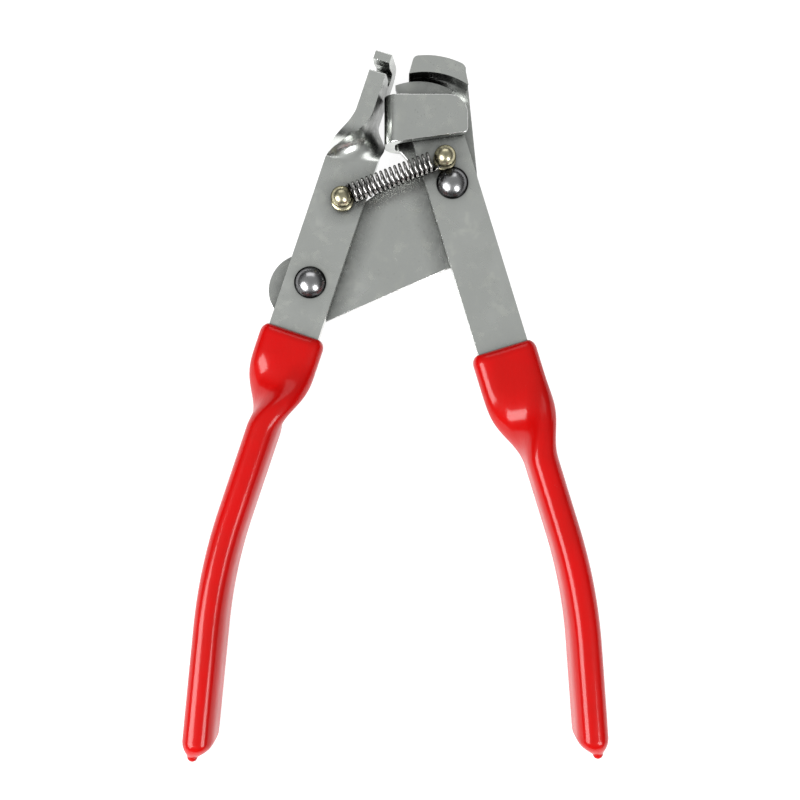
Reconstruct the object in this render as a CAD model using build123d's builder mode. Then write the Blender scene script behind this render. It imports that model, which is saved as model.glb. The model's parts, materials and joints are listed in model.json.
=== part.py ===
"""Two-lever puller for bicycle brake and gear cables.

A nose lever and a cam lever are riveted to one folded plate. The cable runs through the notch in
the nose and between the cam end of the right lever and the lip of the plate. Squeezing the handles
clamps the cable under the lip and pushes the nose away from it.

The tool lies on its back: X to the right, Y towards the head, Z up. The origin is the middle of
the bottom of its bounding box. A lever has a plane of its own, with its origin at the pivot,
local X across the bar to the right and local Y along the bar towards the head.
"""

import os
from math import cos, radians, sin, sqrt

from build123d import *

# Levers: flat steel bar, twisted on edge inside the grips.
BAR_WIDTH = 15.2
BAR_THICK = 5.0
LEFT_PIVOT = (-24.8, 36.8)
RIGHT_PIVOT = (17.2, 66.2)
LEFT_LEAN = 18.6  # degrees that the top of the lever leans to the right
RIGHT_LEAN = -17.1
HANDLE_BEND_RADIUS = 150.0
LEFT_TWIST = (-23.0, -46.0)  # where the bar turns on edge, along the lever
RIGHT_TWIST = (-62.0, -87.0)
LEFT_BEND_START = -72.0
RIGHT_BEND_START = -108.0
LEFT_BEND = 13.0  # degrees that the handle turns towards straight down
RIGHT_BEND = -13.0
LEFT_END = -140.7
RIGHT_END = -170.1
LEFT_JOG = 0.6  # a handle sits this far to the right of the bar above it
RIGHT_JOG = 1.2
HANDLE_TURN = -90.0
STATIONS = 9  # sections that shape a twist
TINY = 1e-6

# Nose: the top of the left lever, twisted on edge, with a notch open at the front.
NOSE_TWIST = (36.8, 52.5)
NOSE_TURN = 84.0
NOSE_TOP = 70.0
NOSE_SHIFT = 0.4  # to the right of the bar below it
NOSE_BACK_RADIUS = 5.0
NOTCH_BOTTOM = 64.0
NOTCH_WIDTH = 4.2
POCKET_DEPTH = 9.8  # from the front edge of the nose to the back of the pocket
POCKET_WIDTH = 3.2
POCKET_LENGTH = 5.4

# Cam: the top of the right lever, an arc whose centre lies left of the pivot.
CAM_RADIUS = 19.9
CAM_CENTRE = (-6.6, 12.6)
CAM_CORNER = 1.0

# Grips: dipped vinyl.
GRIP_WALL = 2.2
GRIP_CORNER = 3.2
GRIP_LIP_RADIUS = 1.0
GRIP_END_RADIUS = 3.0
LEFT_GRIP_TOP = -15.3
RIGHT_GRIP_TOP = -50.9
DRIP_RADIUS = 1.9
DRIP_LENGTH = 2.3
DRIP_FORWARD = 4.0  # from the middle of the handle's end
DRIP_OUTWARD = 1.2
DRIP_TAPER = 22.0

# Plate: one sheet with a link, a neck, a box folded over the right lever and a lip.
SHEET = 3.2
SLIDE_GAP = 0.2  # between a lever and the plate behind it
FRONT_GAP = 0.4  # between the right lever and the front wall of the box
LOBE_TOP = (-30.9, 45.2)
LOBE_SIDE = (-37.8, 34.7)
LOBE_BOTTOM = (-22.5, 24.6)
LINK_CORNER = (27.4, 46.3)  # the lowest corner of the link, behind the right lever
LINK_RADIUS = 6.0
NECK_TOP_RIGHT = (22.2, 97.0)
NECK_TOP_LEFT = (5.2, 99.9)
NECK_SIDE = (2.9, 94.3)
BOX_INSIDE_CORNER = (5.6, 72.2)  # where the box meets the upper edge of the link
INSIDE_RADIUS = 2.0
FOLD_LEFT = -2.9
FOLD_RADIUS = 1.5  # inside the fold
BOX_RIGHT = 21.6
BOX_TOP = 91.6
BOX_BOTTOM = 77.0  # at the fold, and it rises to the right
BOX_SLOPE = 8.0
BOX_TOP_CORNER = 6.0
BOX_BOTTOM_CORNER = 1.5
LIP_REACH = 12.2  # from the back of the sheet to the front of the lip
LIP_CORNERS = [(4.4, 98.4), (5.9, 102.5), (20.8, 99.9), (21.8, 95.0)]
LIP_TOP = (13.0, 102.5)
LIP_UNDERSIDE = (13.2, 98.5)
LIP_RADII = (1.6, 2.2)  # of the left and the right corner

# Rivets and spring posts.
RIVET_SHANK = 3.0
RIVET_FIT = 0.05
RIVET_DOME = (4.7, 3.3)  # radius and height
RIVET_TAIL = (4.2, 1.6)
LEFT_POST = (1.3, 26.1)  # in the lever's own plane
RIGHT_POST = (-0.2, 7.2)
POST_NECK = 1.8
POST_DOME = (3.55, 3.2)
POST_REACH = 4.8  # from the lever's front to the underside of the dome

# Return spring.
SPRING_OUTER = 3.1
SPRING_WIRE = 0.85
SPRING_LOOP = 2.3  # radius of the end loop, to the middle of the wire
SPRING_START = 3.6  # from the post to the first coil
SPRING_EYE = 0.8  # hole left in each end of the tube
SPRING_LEAD = 1.5  # from the middle of the coil to the wire that leads to the loop

# Levels above the floor.
TWIST_BULGE = 0.2  # the grip stands this much further out where it twists
MID_Z = BAR_WIDTH / 2 + GRIP_WALL + TWIST_BULGE
BAR_FRONT = MID_Z + BAR_THICK / 2
BAR_BACK = MID_Z - BAR_THICK / 2
PLATE_FRONT = BAR_BACK - SLIDE_GAP
PLATE_BACK = PLATE_FRONT - SHEET
BOX_INNER = BAR_FRONT + FRONT_GAP
POST_TOP = BAR_FRONT + POST_REACH
SPRING_Z = POST_TOP - 0.6
DOME_Z = BAR_FRONT + 0.05


def lever_plane(pivot, lean):
    """The plane of a lever, through the middle of its bar."""
    across = (cos(radians(lean)), -sin(radians(lean)), 0)
    return Plane(origin=(*pivot, MID_Z), x_dir=across, z_dir=(0, 0, 1))


LEFT = lever_plane(LEFT_PIVOT, LEFT_LEAN)
RIGHT = lever_plane(RIGHT_PIVOT, RIGHT_LEAN)


def section_plane(lever, along, turn, shift=0.0):
    """A plane across the bar, whose X is the bar's width, turned about the bar."""
    width_dir = lever.x_dir * cos(radians(turn)) - lever.z_dir * sin(radians(turn))
    return Plane(
        origin=lever.origin + lever.y_dir * along + lever.x_dir * shift,
        x_dir=width_dir,
        z_dir=lever.y_dir,
    )


def ease(t):
    """From 0 to 1 with no slope at either end."""
    return t * t * (3 - 2 * t)


def section(plane, wall):
    """The outline of the bar, or of the vinyl around it."""
    with BuildSketch(plane) as outline:
        if wall:
            RectangleRounded(BAR_WIDTH + 2 * wall, BAR_THICK + 2 * wall, GRIP_CORNER)
        else:
            Rectangle(BAR_WIDTH, BAR_THICK)
    return outline.sketch


def twisted(lever, span, turn, shift=0.0, wall=0.0):
    """Add a length of bar that turns about itself."""
    sections = []
    for station in range(STATIONS):
        t = station / (STATIONS - 1)
        along = span[0] + (span[1] - span[0]) * t
        plane = section_plane(lever, along, turn * ease(t), shift * ease(t))
        sections.append(section(plane, wall))
    loft(sections)


def handle(lever, twist_end, bend_start, bend, end, shift=0.0, wall=0.0):
    """Add the handle below its twist: straight, one gentle bend, and straight to the end."""
    with BuildLine() as path:
        upper = Line((shift, twist_end), (shift, bend_start))
        arc = JernArc(upper @ 1, upper % 1, HANDLE_BEND_RADIUS, bend)
        rest = bend_start - end - HANDLE_BEND_RADIUS * radians(abs(bend))
        PolarLine(arc @ 1, rest + wall, direction=arc % 1)
    start = section(section_plane(lever, twist_end, HANDLE_TURN, shift), wall)
    sweep(start, path=lever.from_local_coords(path.line))


def bar_holes(lever, post):
    """Cut the pivot hole and the hole of the spring post."""
    with BuildSketch(lever) as holes:
        Circle(RIVET_SHANK + RIVET_FIT)
        with Locations(post):
            Circle(POST_NECK)
    extrude(holes.sketch, amount=BAR_THICK, both=True, mode=Mode.SUBTRACT)


def nose(lever):
    """Add the nose: a rounded back corner and a notch with a pocket for the cable."""
    across = section_plane(lever, 0, NOSE_TURN, NOSE_SHIFT)
    side = Plane(origin=across.origin, x_dir=-across.x_dir, z_dir=across.y_dir)
    half = BAR_WIDTH / 2
    with BuildSketch(side) as profile:
        with BuildLine():
            Polyline((-half, NOSE_TWIST[1]), (half, NOSE_TWIST[1]), (half, NOSE_TOP))
            Polyline((half, NOSE_TOP), (-half, NOSE_TOP), (-half, NOSE_TWIST[1]))
        make_face()
        fillet(profile.vertices().sort_by(Axis.X)[:2].sort_by(Axis.Y)[-1], NOSE_BACK_RADIUS)
        pocket_middle = half - POCKET_DEPTH + POCKET_WIDTH / 2
        with Locations((pocket_middle, NOTCH_BOTTOM)):
            Rectangle(
                half - pocket_middle + 1,
                NOTCH_WIDTH,
                align=(Align.MIN, Align.MIN),
                mode=Mode.SUBTRACT,
            )
        with Locations((pocket_middle, NOTCH_BOTTOM + NOTCH_WIDTH - POCKET_LENGTH / 2)):
            SlotOverall(POCKET_LENGTH, POCKET_WIDTH, rotation=90, mode=Mode.SUBTRACT)
    extrude(profile.sketch, amount=BAR_THICK / 2, both=True)


def cam_height(across):
    """How far the cam's arc lies along the lever, at a place across it."""
    return CAM_CENTRE[1] + sqrt(CAM_RADIUS**2 - (across - CAM_CENTRE[0]) ** 2)


def grip(vinyl, lever, top, twist, bend_start, bend, end, shift, outward):
    """Add the vinyl around a handle, with a rolled lip, a round end and a drip below it."""
    mouth = section(section_plane(lever, top, 0), GRIP_WALL)
    extrude(mouth, amount=twist[0] - top)
    twisted(lever, twist, HANDLE_TURN, shift, GRIP_WALL)
    handle(lever, twist[1], bend_start, bend, end, shift, GRIP_WALL)
    fillet(vinyl.faces().sort_by(Axis.Y)[0].edges(), GRIP_END_RADIUS)
    drip(vinyl.faces().sort_by(Axis.Y)[0], outward)
    fillet(vinyl.faces().sort_by(Axis.Y)[-1].edges(), GRIP_LIP_RADIUS)


def drip(floor, outward):
    """Add the drop of vinyl that hangs at the bottom of a dipped handle."""
    place = floor.center() + Vector(outward, 0, DRIP_FORWARD)
    with BuildSketch(Plane(origin=place, z_dir=floor.normal_at())) as drop:
        Circle(DRIP_RADIUS)
    extrude(drop.sketch, amount=DRIP_LENGTH, taper=DRIP_TAPER)
    extrude(drop.sketch, amount=-GRIP_END_RADIUS / 2)


def turned(centre, tail_z, dome_z, shank, dome, tail=None):
    """Add a domed rivet or stud, turned about a line through its centre."""
    radius, height = dome
    with BuildSketch(Plane(origin=(*centre, 0), x_dir=(1, 0, 0), z_dir=(0, -1, 0))) as half:
        with BuildLine():
            if tail:
                foot = Polyline(
                    (0, tail_z - tail[1]), (tail[0], tail_z - tail[1]),
                    (tail[0], tail_z), (shank, tail_z), (shank, dome_z), (radius, dome_z),
                )
            else:
                foot = Polyline((0, tail_z), (shank, tail_z), (shank, dome_z), (radius, dome_z))
            sphere = (radius**2 + height**2) / (2 * height)
            crown = RadiusArc(foot @ 1, (0, dome_z + height), -sphere)
            Line(crown @ 1, foot @ 0)
        make_face()
    revolve(half.sketch, axis=Axis((*centre, 0), (0, 0, 1)))


def on_lever(lever, point):
    """A point of a lever's plane, as X and Y of the tool."""
    place = lever.from_local_coords((*point, 0))
    return (place.X, place.Y)


# ---- levers ----
with BuildPart() as left_lever:
    with BuildSketch(LEFT.offset(-BAR_THICK / 2)):
        with Locations((0, LEFT_TWIST[0])):
            Rectangle(
                BAR_WIDTH, NOSE_TWIST[0] - LEFT_TWIST[0], align=(Align.CENTER, Align.MIN)
            )
    extrude(amount=BAR_THICK)
    twisted(LEFT, NOSE_TWIST, NOSE_TURN, NOSE_SHIFT)
    nose(LEFT)
    twisted(LEFT, LEFT_TWIST, HANDLE_TURN, LEFT_JOG)
    handle(LEFT, LEFT_TWIST[1], LEFT_BEND_START, LEFT_BEND, LEFT_END, LEFT_JOG)
    bar_holes(LEFT, LEFT_POST)
left_lever.part.label = "left_lever"

with BuildPart() as right_lever:
    half_width = BAR_WIDTH / 2
    with BuildSketch(RIGHT.offset(-BAR_THICK / 2)) as blade:
        with BuildLine():
            cam = RadiusArc(
                (-half_width, cam_height(-half_width)),
                (half_width, cam_height(half_width)),
                CAM_RADIUS,
            )
            Polyline(
                cam @ 1, (half_width, RIGHT_TWIST[0]), (-half_width, RIGHT_TWIST[0]), cam @ 0
            )
        make_face()
        fillet(blade.vertices().group_by(Axis.X)[-1].sort_by(Axis.Y)[-1], CAM_CORNER)
    extrude(amount=BAR_THICK)
    twisted(RIGHT, RIGHT_TWIST, HANDLE_TURN, RIGHT_JOG)
    handle(RIGHT, RIGHT_TWIST[1], RIGHT_BEND_START, RIGHT_BEND, RIGHT_END, RIGHT_JOG)
    bar_holes(RIGHT, RIGHT_POST)
right_lever.part.label = "right_lever"

# ---- grips ----
with BuildPart() as left_grip:
    grip(
        left_grip, LEFT, LEFT_GRIP_TOP, LEFT_TWIST, LEFT_BEND_START, LEFT_BEND, LEFT_END,
        LEFT_JOG, -DRIP_OUTWARD,
    )
    add(left_lever.part, mode=Mode.SUBTRACT)
left_grip.part.label = "left_grip"

with BuildPart() as right_grip:
    grip(
        right_grip, RIGHT, RIGHT_GRIP_TOP, RIGHT_TWIST, RIGHT_BEND_START, RIGHT_BEND, RIGHT_END,
        RIGHT_JOG, DRIP_OUTWARD,
    )
    add(right_lever.part, mode=Mode.SUBTRACT)
right_grip.part.label = "right_grip"

# ---- plate ----
# The fold and the front wall of the box, bent from the sheet around the right lever.
fold_end = FOLD_LEFT + SHEET + FOLD_RADIUS
fold_root = fold_end + SHEET  # runs into the plate
box_front = BOX_INNER + SHEET
with BuildPart() as box:
    with BuildSketch(Plane.XZ) as profile:
        with BuildLine():
            Polyline(
                (fold_root, PLATE_BACK), (FOLD_LEFT, PLATE_BACK), (FOLD_LEFT, box_front),
                (BOX_RIGHT, box_front), (BOX_RIGHT, BOX_INNER), (FOLD_LEFT + SHEET, BOX_INNER),
                (FOLD_LEFT + SHEET, PLATE_FRONT), (fold_root, PLATE_FRONT), close=True,
            )
        make_face()
        fillet(profile.vertices().group_by(Axis.X)[0], FOLD_RADIUS + SHEET)
        inside = [v for v in profile.vertices() if abs(v.X - FOLD_LEFT - SHEET) < TINY]
        fillet(inside, FOLD_RADIUS)
    extrude(amount=-BOX_TOP)
    with BuildSketch() as wall:
        rise = (BOX_RIGHT - FOLD_LEFT) * sin(radians(BOX_SLOPE))
        with BuildLine():
            Polyline(
                (FOLD_LEFT, BOX_TOP), (BOX_RIGHT, BOX_TOP), (BOX_RIGHT, BOX_BOTTOM + rise),
                (FOLD_LEFT, BOX_BOTTOM), close=True,
            )
        make_face()
        right_corners = wall.vertices().group_by(Axis.X)[-1].sort_by(Axis.Y)
        fillet(right_corners[1], BOX_TOP_CORNER)
        fillet(right_corners[0], BOX_BOTTOM_CORNER)
    extrude(amount=BOX_INNER + 2 * SHEET, mode=Mode.INTERSECT)

with BuildPart() as body_plate:
    with BuildSketch(Plane.XY.offset(PLATE_BACK)) as sheet:
        with BuildLine():
            lobe = ThreePointArc(LOBE_TOP, LOBE_SIDE, LOBE_BOTTOM)
            Polyline(
                lobe @ 1, LINK_CORNER, NECK_TOP_RIGHT, NECK_TOP_LEFT, NECK_SIDE,
                (fold_end, BOX_TOP), (fold_end, BOX_BOTTOM), BOX_INSIDE_CORNER, lobe @ 0,
            )
        make_face()
        for corner, radius in ((LINK_CORNER, LINK_RADIUS), (BOX_INSIDE_CORNER, INSIDE_RADIUS)):
            fillet(sheet.vertices().sort_by_distance((*corner, PLATE_BACK))[0], radius)
    extrude(amount=SHEET)
    add(box.part)
    with BuildSketch(Plane.XY.offset(PLATE_BACK)) as lip:
        bottom_left, top_left, top_right, bottom_right = LIP_CORNERS
        with BuildLine():
            Line(bottom_left, top_left)
            ThreePointArc(top_left, LIP_TOP, top_right)
            Line(top_right, bottom_right)
            ThreePointArc(bottom_right, LIP_UNDERSIDE, bottom_left)
        make_face()
        for corner, radius in zip((top_left, top_right), LIP_RADII):
            fillet(lip.vertices().sort_by_distance((*corner, PLATE_BACK))[0], radius)
    extrude(amount=LIP_REACH)
    with BuildSketch(Plane.XY.offset(PLATE_BACK)):
        with Locations(LEFT_PIVOT, RIGHT_PIVOT):
            Circle(RIVET_SHANK)
    extrude(amount=SHEET, mode=Mode.SUBTRACT)
body_plate.part.label = "body_plate"

# ---- rivets, posts and spring ----
with BuildPart() as left_pivot_rivet:
    turned(LEFT_PIVOT, PLATE_BACK, DOME_Z, RIVET_SHANK, RIVET_DOME, RIVET_TAIL)
left_pivot_rivet.part.label = "left_pivot_rivet"

with BuildPart() as right_pivot_rivet:
    turned(RIGHT_PIVOT, PLATE_BACK, DOME_Z, RIVET_SHANK, RIVET_DOME, RIVET_TAIL)
right_pivot_rivet.part.label = "right_pivot_rivet"

with BuildPart() as left_spring_post:
    turned(on_lever(LEFT, LEFT_POST), BAR_BACK, POST_TOP, POST_NECK, POST_DOME)
left_spring_post.part.label = "left_spring_post"

with BuildPart() as right_spring_post:
    turned(on_lever(RIGHT, RIGHT_POST), BAR_BACK, POST_TOP, POST_NECK, POST_DOME)
right_spring_post.part.label = "right_spring_post"

# The coil is one hollow tube here, closed towards the round loop at each end.
left_hook = Vector(*on_lever(LEFT, LEFT_POST), SPRING_Z)
right_hook = Vector(*on_lever(RIGHT, RIGHT_POST), SPRING_Z)
pull = (right_hook - left_hook).normalized()
with BuildPart() as return_spring:
    coil_length = (right_hook - left_hook).length - 2 * SPRING_START
    with BuildSketch(Plane(origin=left_hook + pull * SPRING_START, z_dir=pull)):
        Circle(SPRING_OUTER)
        Circle(SPRING_EYE, mode=Mode.SUBTRACT)
    extrude(amount=coil_length)
    with BuildSketch(Plane(origin=left_hook + pull * (SPRING_START + SPRING_WIRE), z_dir=pull)):
        Circle(SPRING_OUTER - SPRING_WIRE)
    extrude(amount=coil_length - 2 * SPRING_WIRE, mode=Mode.SUBTRACT)
    with Locations(left_hook, right_hook):
        Torus(SPRING_LOOP, SPRING_WIRE / 2)
    reach = sqrt(SPRING_LOOP**2 - SPRING_LEAD**2)
    for hook, way in ((left_hook, pull), (right_hook, -pull)):
        side = way.cross(Vector(0, 0, -1))
        with BuildSketch(Plane(origin=hook + way * reach + side * SPRING_LEAD, z_dir=way)):
            Circle(SPRING_WIRE / 2)
        extrude(amount=SPRING_START + SPRING_WIRE / 2 - reach)
return_spring.part.label = "return_spring"

# ---- files ----
os.makedirs("parts", exist_ok=True)
for piece in (
    left_lever, right_lever, left_grip, right_grip, body_plate, left_pivot_rivet,
    right_pivot_rivet, left_spring_post, right_spring_post, return_spring,
):
    export_step(piece.part, f"parts/{piece.part.label}.step")
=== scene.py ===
"""Finished look of a two-lever cable puller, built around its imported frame.

Every length below is in metres, and X points right, Y towards the head and Z out of the front.
A lever is shaped in its own flat blank first: X across the bar, Y along it from the pivot, Z
through it. The blank is then twisted and bent into place.
"""

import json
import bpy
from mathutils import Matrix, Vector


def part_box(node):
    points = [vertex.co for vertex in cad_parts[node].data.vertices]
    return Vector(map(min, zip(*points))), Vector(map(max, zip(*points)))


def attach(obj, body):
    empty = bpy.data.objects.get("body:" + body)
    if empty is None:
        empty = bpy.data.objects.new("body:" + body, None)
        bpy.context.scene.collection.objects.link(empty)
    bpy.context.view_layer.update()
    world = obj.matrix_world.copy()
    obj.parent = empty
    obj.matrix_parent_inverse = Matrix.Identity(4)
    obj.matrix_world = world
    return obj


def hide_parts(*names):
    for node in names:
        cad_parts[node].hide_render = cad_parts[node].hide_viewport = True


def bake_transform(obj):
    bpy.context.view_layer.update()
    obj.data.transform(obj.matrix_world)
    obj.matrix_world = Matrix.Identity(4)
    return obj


bl_info = {
    "name": "Cable puller",
    "version": (1, 0, 0),
    "blender": (4, 5, 0),
    "location": "3D View > Sidebar > Cable puller",
    "description": "Builds the finished pieces of a two-lever cable puller",
    "category": "Add Mesh",
}

from math import asin, atan2, copysign, cos, degrees, pi, radians, sin, sqrt, tan

import bmesh
import bpy
from bpy.props import FloatProperty, FloatVectorProperty, IntProperty, PointerProperty
from mathutils import Matrix, Vector

MM = 0.001
SIDES = ("left", "right")

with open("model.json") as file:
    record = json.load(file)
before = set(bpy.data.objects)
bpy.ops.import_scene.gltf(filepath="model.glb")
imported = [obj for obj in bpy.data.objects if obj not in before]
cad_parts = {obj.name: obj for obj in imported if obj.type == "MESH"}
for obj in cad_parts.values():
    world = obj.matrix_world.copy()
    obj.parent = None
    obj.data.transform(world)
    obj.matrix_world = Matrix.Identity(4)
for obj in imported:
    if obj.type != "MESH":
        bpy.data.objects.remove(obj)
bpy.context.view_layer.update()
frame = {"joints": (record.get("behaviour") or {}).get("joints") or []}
PIVOTS = {joint["name"]: Vector(joint["pos_m"]) for joint in frame["joints"]}


# ---- settings ----


def length(name, description, default):
    """A length that a user may change, given in millimetres."""
    return FloatProperty(name=name, description=description, default=default * MM, unit="LENGTH")


def lengths(name, description, default):
    """Several lengths, given in millimetres."""
    return FloatVectorProperty(
        name=name, description=description, size=len(default),
        default=[value * MM for value in default], unit="LENGTH",
    )


def angle(name, description, default):
    """An angle, given in degrees."""
    return FloatProperty(
        name=name, description=description, default=radians(default), subtype="ANGLE"
    )


def angles(name, description, default):
    """Several angles, given in degrees."""
    return FloatVectorProperty(
        name=name, description=description, size=len(default),
        default=[radians(value) for value in default], unit="ROTATION",
    )


def colour(name, description, default):
    """A plain colour."""
    return FloatVectorProperty(
        name=name, description=description, size=3, min=0, max=1, default=default, subtype="COLOR"
    )


class BarSettings(bpy.types.PropertyGroup):
    """Flat bar of both levers. A pair is the left lever's value and the right one's."""

    width: length("Width", "Width of the bar", 15.2)
    thick: length("Thickness", "Thickness of the bar", 5.0)
    edge: length("Edge", "Radius of the bar's edges", 0.3)
    lean: angles("Lean", "How far the top of each lever leans to the right", (18.6, -17.1))
    jog: lengths("Jog", "How far each handle sits to the right of its bar", (0.6, 1.2))
    grip_top: lengths("Grip top", "Where each grip starts", (-15.3, -50.9))
    twist_start: lengths("Twist start", "Where each handle starts to twist", (-23.0, -62.0))
    twist_end: lengths("Twist end", "Where each handle stands on edge", (-46.0, -87.0))
    handle_turn: angle("Handle turn", "How far the handles twist", -90.0)
    bend_start: lengths("Bend start", "Where each handle starts to bend", (-72.0, -108.0))
    bend: angles("Bend", "How far each handle bends", (13.0, -13.0))
    bend_radius: length("Bend radius", "Radius of the bend of a handle", 150.0)
    end: lengths("End", "Lower end of each bar", (-140.7, -170.1))
    corner: length("Corner", "Radius of the corners at the lower end", 4.0)


class NoseSettings(bpy.types.PropertyGroup):
    """Twisted top of the left lever, with the notch for the cable."""

    twist_start: length("Twist start", "Where the left edge starts to twist", 36.8)
    lag: length("Lag", "How much later the right edge starts to twist", 3.0)
    twist_end: length("Twist end", "Where the nose stands on edge", 52.5)
    turn: angle("Turn", "How far the nose twists", 84.0)
    shift: length("Shift", "How far the nose sits to the right of its bar", 0.4)
    top: length("Top", "Tip of the nose", 70.0)
    back_radius: length("Back radius", "Radius of the back corner of the tip", 5.0)
    mouth: lengths("Mouth", "Lower and upper side of the notch's mouth", (64.1, 67.3))
    hook: lengths("Hook", "Depth and level of the hook's inner corner", (2.9, 66.7))
    pocket: lengths("Pocket", "Lower and upper end of the notch's pocket", (63.0, 67.0))
    pocket_depth: length("Pocket depth", "From the front of the nose to the pocket's back", 9.8)
    pocket_radius: length("Pocket radius", "Radius of both ends of the pocket", 1.6)
    corner: length("Corner", "Radius of the corners at the tip and the mouth", 0.4)
    hook_radius: length("Hook radius", "Radius inside the hook", 0.8)


class CamSettings(bpy.types.PropertyGroup):
    """Round top of the right lever."""

    radius: length("Radius", "Radius of the cam", 19.9)
    centre: lengths("Centre", "Centre of the cam in the lever's own plane", (-6.6, 12.6))
    corner: length("Corner", "Radius of the cam's right corner", 1.0)


class GripSettings(bpy.types.PropertyGroup):
    """Dipped vinyl around each handle."""

    wall: length("Wall", "Thickness of the vinyl", 2.2)
    flat: FloatProperty(name="Flat", description="How square the wide sides are", default=4.0)
    round: FloatProperty(name="Round", description="How square the narrow sides are", default=2.3)
    lip: length("Lip", "Length of the rolled lip", 2.9)
    round_end: length("Round end", "Length of the tapered end", 5.2)
    drip_radius: length("Drip radius", "Radius of the drop at the end", 1.65)
    drip_length: length("Drip length", "Length of the drop at the end", 1.6)
    cap: length("Cap", "Thickness of the vinyl below the bar", 3.6)
    drip_forward: length("Drip forward", "From the middle of the end to the drop", 4.0)
    drip_outward: length("Drip outward", "How far the drop sits outwards", 1.2)


class PlateSettings(bpy.types.PropertyGroup):
    """Folded plate that joins the levers."""

    sheet: length("Sheet", "Thickness of the sheet", 3.2)
    edge: length("Edge", "Radius of the sheet's edges", 0.35)
    back: length("Back", "Level of the back of the sheet", 4.1)
    fold_left: length("Fold left", "Left side of the fold", -2.9)
    fold_bottom: length("Fold bottom", "The sheet is folded above this level only", 74.0)
    fold_radius: length("Fold radius", "Radius inside the fold", 1.5)
    box_inner: length("Box inner", "Level of the inner face of the front wall", 12.9)
    box_right: length("Box right", "Right side of the front wall", 21.6)
    box_top: length("Box top", "Top of the front wall", 91.6)
    box_bottom: length("Box bottom", "Bottom of the front wall at the fold", 77.0)
    box_slope: angle("Box slope", "How steeply the bottom of the front wall rises", 8.0)
    lip_front: length("Lip front", "Level of the front of the lip", 16.3)
    flare: length("Flare", "Level where the lip starts to widen", 13.2)
    bead: length("Bead", "How far the front of the lip reaches down", 1.0)
    lip_bend: length("Lip bend", "Outer radius where the lip leaves the sheet", 2.6)
    lip_split: lengths("Lip split", "Top of the bead, and foot of the bend", (98.9, 98.8))


class FasteningSettings(bpy.types.PropertyGroup):
    """Pivot rivets and spring posts."""

    shank: length("Shank", "Radius of a rivet's shank", 3.0)
    play: length("Play", "Gap round a shank in its lever", 0.05)
    rivet_dome: lengths("Rivet dome", "Radius and height of a rivet's head", (4.7, 3.3))
    rivet_tail: lengths("Rivet tail", "Radius and height of a rivet's tail", (4.2, 1.6))
    neck: length("Neck", "Radius of a post's neck", 1.8)
    collar: length("Collar", "Radius of a post's collar on the lever", 3.35)
    post_dome: lengths("Post dome", "Radius and height of a post's head", (3.15, 3.0))
    post_reach: length("Post reach", "From the lever to the head of a post", 4.8)


class SpringSettings(bpy.types.PropertyGroup):
    """Return spring between the two posts."""

    outer: length("Outer", "Outer radius of the coils", 3.1)
    wire: length("Wire", "Thickness of the wire", 0.88)
    loop: length("Loop", "Radius of an end loop", 2.3)
    start: lengths("Start", "From each post to the first coil", (3.1, 3.9))
    below_head: length("Below head", "From a post's head down to the spring's axis", 0.6)
    turns: IntProperty(name="Turns", description="Number of coils", default=17)


class FinishSettings(bpy.types.PropertyGroup):
    """Colours of the finishes."""

    zinc: colour("Zinc", "Zinc plate on the levers", (0.77, 0.79, 0.765))
    rivet: colour("Rivet", "Polished rivet heads", (0.42, 0.42, 0.43))
    gold: colour("Gold", "Yellow zinc on the posts", (0.56, 0.52, 0.36))
    wire: colour("Wire", "Drawn spring wire", (0.50, 0.49, 0.48))
    vinyl: colour("Vinyl", "Dipped vinyl grips", (0.50, 0.001, 0.001))


class StageSettings(bpy.types.PropertyGroup):
    """Camera, floor and lights."""

    aim: lengths("Aim", "Point that the camera looks down on", (1.75, 2.05))
    height: length("Height", "Height of the camera", 323.1)
    lens: FloatProperty(name="Lens", description="Focal length", default=47.3, unit="CAMERA")
    floor: colour("Floor", "Colour of the floor", (0.32, 0.32, 0.32))
    glow: FloatProperty(name="Glow", description="Light that the floor gives off", default=0.88)
    light: FloatProperty(name="Light", description="Power of a softbox", default=5.0, unit="POWER")
    room_high: FloatProperty(name="Ceiling", description="Light of the ceiling", default=0.41)
    room_low: FloatProperty(name="Walls", description="Light of the walls", default=0.03)


# ---- shapes ----


def arc(centre, radius, start, end, count):
    """Points along an arc, in degrees and counter-clockwise if end is the larger."""
    places = [radians(start + (end - start) * step / count) for step in range(count + 1)]
    return [(centre[0] + radius * cos(a), centre[1] + radius * sin(a), 0) for a in places]


def arc_through(first, middle, last, count):
    """Points along the arc through three points, which are given in millimetres."""
    a, b, c = (Vector(point) * MM for point in (first, middle, last))
    ab = b - a
    bc = c - b
    turn = ab.x * bc.y - ab.y * bc.x
    first_half = (b.length_squared - a.length_squared) / 2
    second_half = (c.length_squared - b.length_squared) / 2
    x = (first_half * bc.y - second_half * ab.y) / turn
    y = (second_half * ab.x - first_half * bc.x) / turn
    start = degrees(atan2(a.y - y, a.x - x))
    end = degrees(atan2(c.y - y, c.x - x))
    full_turn = copysign(360, turn)
    if (end - start) * full_turn < 0:
        end += full_turn
    return arc((x, y), (a - Vector((x, y))).length, start, end, count)


def in_mm(*points):
    """Corners given in millimetres, each as its X, its Y and the radius that rounds it."""
    return [tuple(value * MM for value in point) for point in points]


def outline(corners, segments=8):
    """A bmesh of one flat face. A corner is its X, its Y and the radius that rounds it."""
    bm = bmesh.new()
    verts = [bm.verts.new((x, y, 0)) for x, y, radius in corners]
    bm.faces.new(verts)
    for vert, (_, _, radius) in zip(verts, corners):
        if radius:
            sides = [edge.other_vert(vert).co - vert.co for edge in vert.link_edges]
            reach = radius / tan(sides[0].angle(sides[1]) / 2)
            bmesh.ops.bevel(
                bm, geom=[vert], affect="VERTICES", offset=reach, segments=segments,
                profile=0.5, material=-1,
            )
    return bm


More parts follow.
